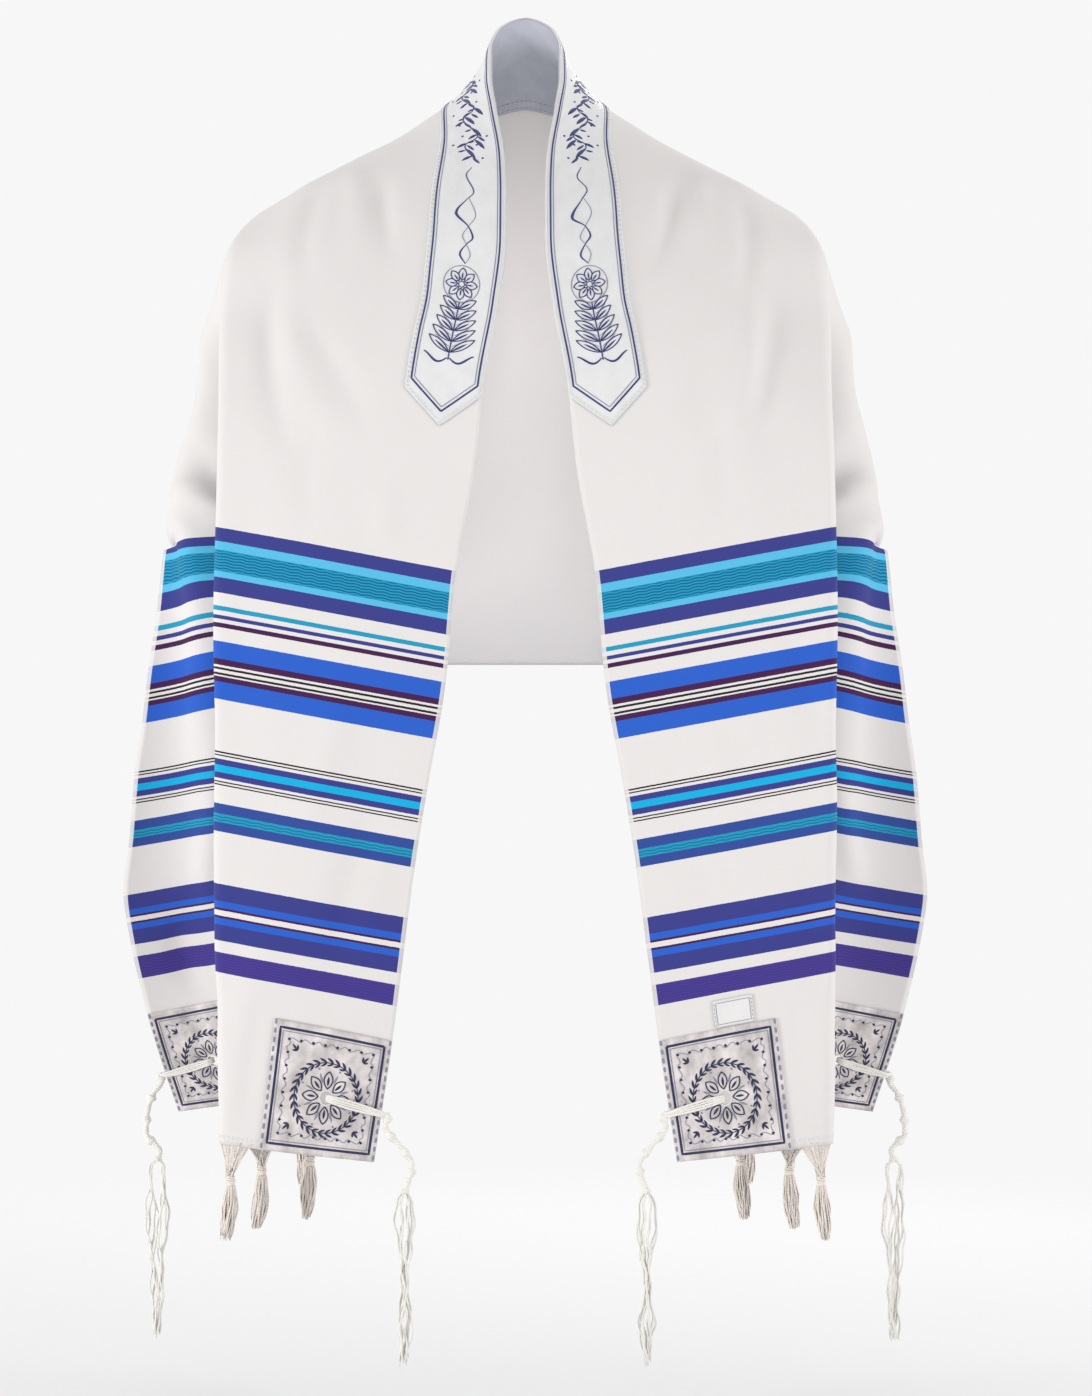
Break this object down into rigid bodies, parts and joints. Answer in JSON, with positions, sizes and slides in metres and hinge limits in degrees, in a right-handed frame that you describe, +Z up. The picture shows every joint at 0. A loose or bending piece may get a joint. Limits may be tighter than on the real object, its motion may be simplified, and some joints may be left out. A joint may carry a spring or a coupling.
{
  "type": "worn prayer shawl",
  "caption": "Long striped prayer shawl held in its worn shape over the shoulders, with neckband, corner patches, knotted corner strings and hem tassels; hollow inside, open at neck and hem.",
  "frame": {"origin": "the nape: the middle of the back where the standing neckband starts, on the sheet's centre line", "axes": "+X to the right as seen from the front, +Y towards the back, +Z up"},
  "size_m": [0.6094, 0.2474, 1.015],
  "materials": {
    "cloth": "woven cloth with blue, turquoise and purple stripes",
    "band": "embroidered band",
    "lining": "plain grey lining",
    "patch": "silver grey satin, embroidered in navy",
    "label": "bare woven tab",
    "strings": "spun cream strings",
    "tassels": "twisted warp threads"
  },
  "bodies": {
    "root": {"shawl_cloth": "cloth", "neckband": "band", "neck_lining": "lining", "corner_patch_front_left": "patch", "corner_patch_front_right": "patch", "corner_patch_side_left": "patch", "corner_patch_side_right": "patch", "woven_label": "label", "corner_strings_front_left": "strings", "corner_strings_front_right": "strings", "corner_strings_side_left": "strings", "corner_strings_side_right": "strings", "hem_tassel_left_1": "tassels", "hem_tassel_left_2": "tassels", "hem_tassel_left_3": "tassels", "hem_tassel_left_4": "tassels", "hem_tassel_right_1": "tassels", "hem_tassel_right_2": "tassels", "hem_tassel_right_3": "tassels", "hem_tassel_right_4": "tassels"}
  },
  "joints": []
}
